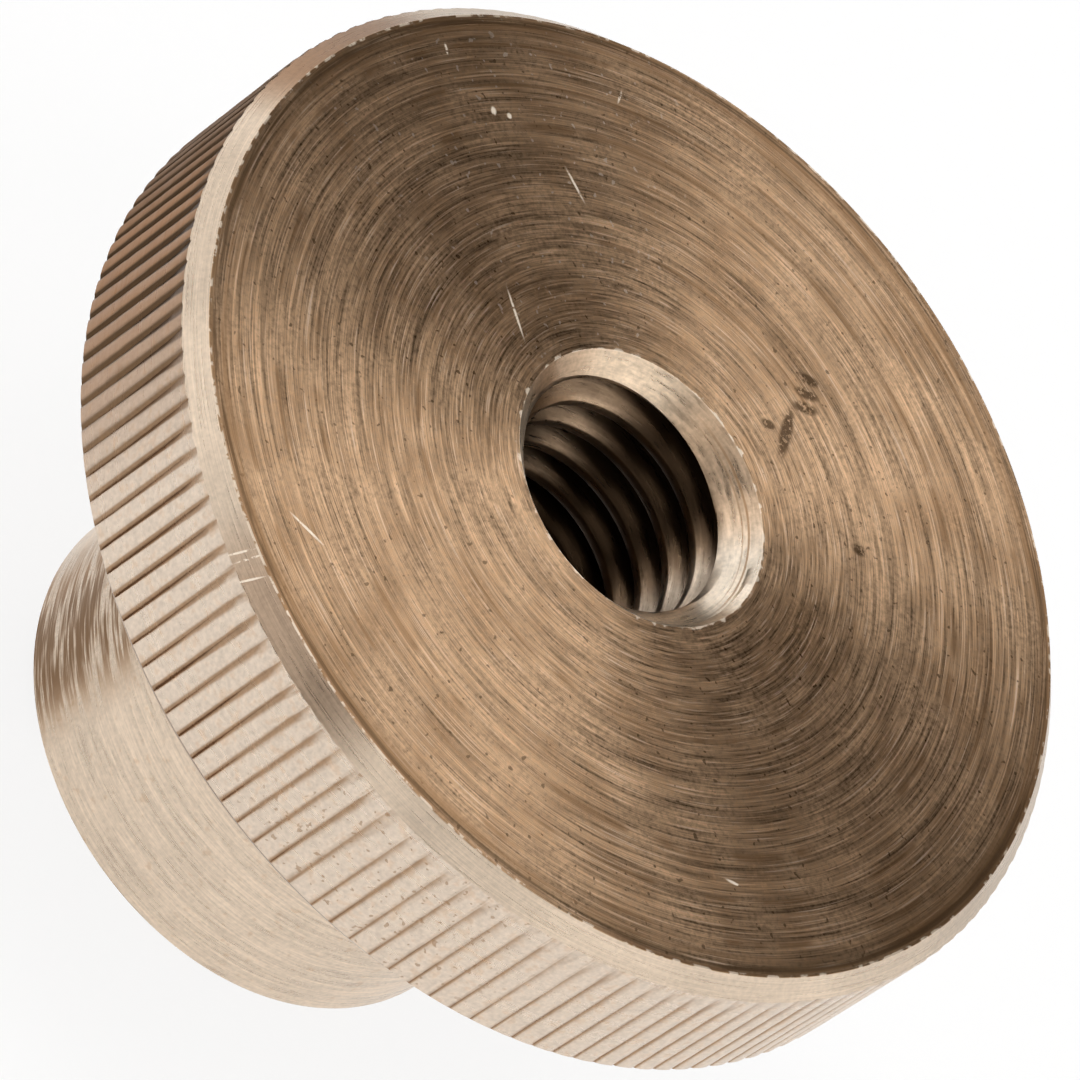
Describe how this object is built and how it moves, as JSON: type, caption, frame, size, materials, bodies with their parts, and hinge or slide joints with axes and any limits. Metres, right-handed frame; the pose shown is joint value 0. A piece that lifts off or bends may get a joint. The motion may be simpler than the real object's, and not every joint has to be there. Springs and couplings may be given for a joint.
{
  "type": "knurled thumb nut",
  "caption": "High-form thumb nut turned from one brass bar: a thin disc head with a straight knurl on a plain round collar, tapped right through and countersunk at both ends.",
  "frame": {"origin": "centre of the collar's end face, on the thread's axis, where the nut stands", "axes": "+Z along the thread's axis, from the collar towards the knurled head's face"},
  "size_m": [0.03, 0.03, 0.018],
  "materials": {
    "brass": "turned and tarnished"
  },
  "bodies": {
    "root": {"knurled_nut": "brass"}
  },
  "joints": []
}
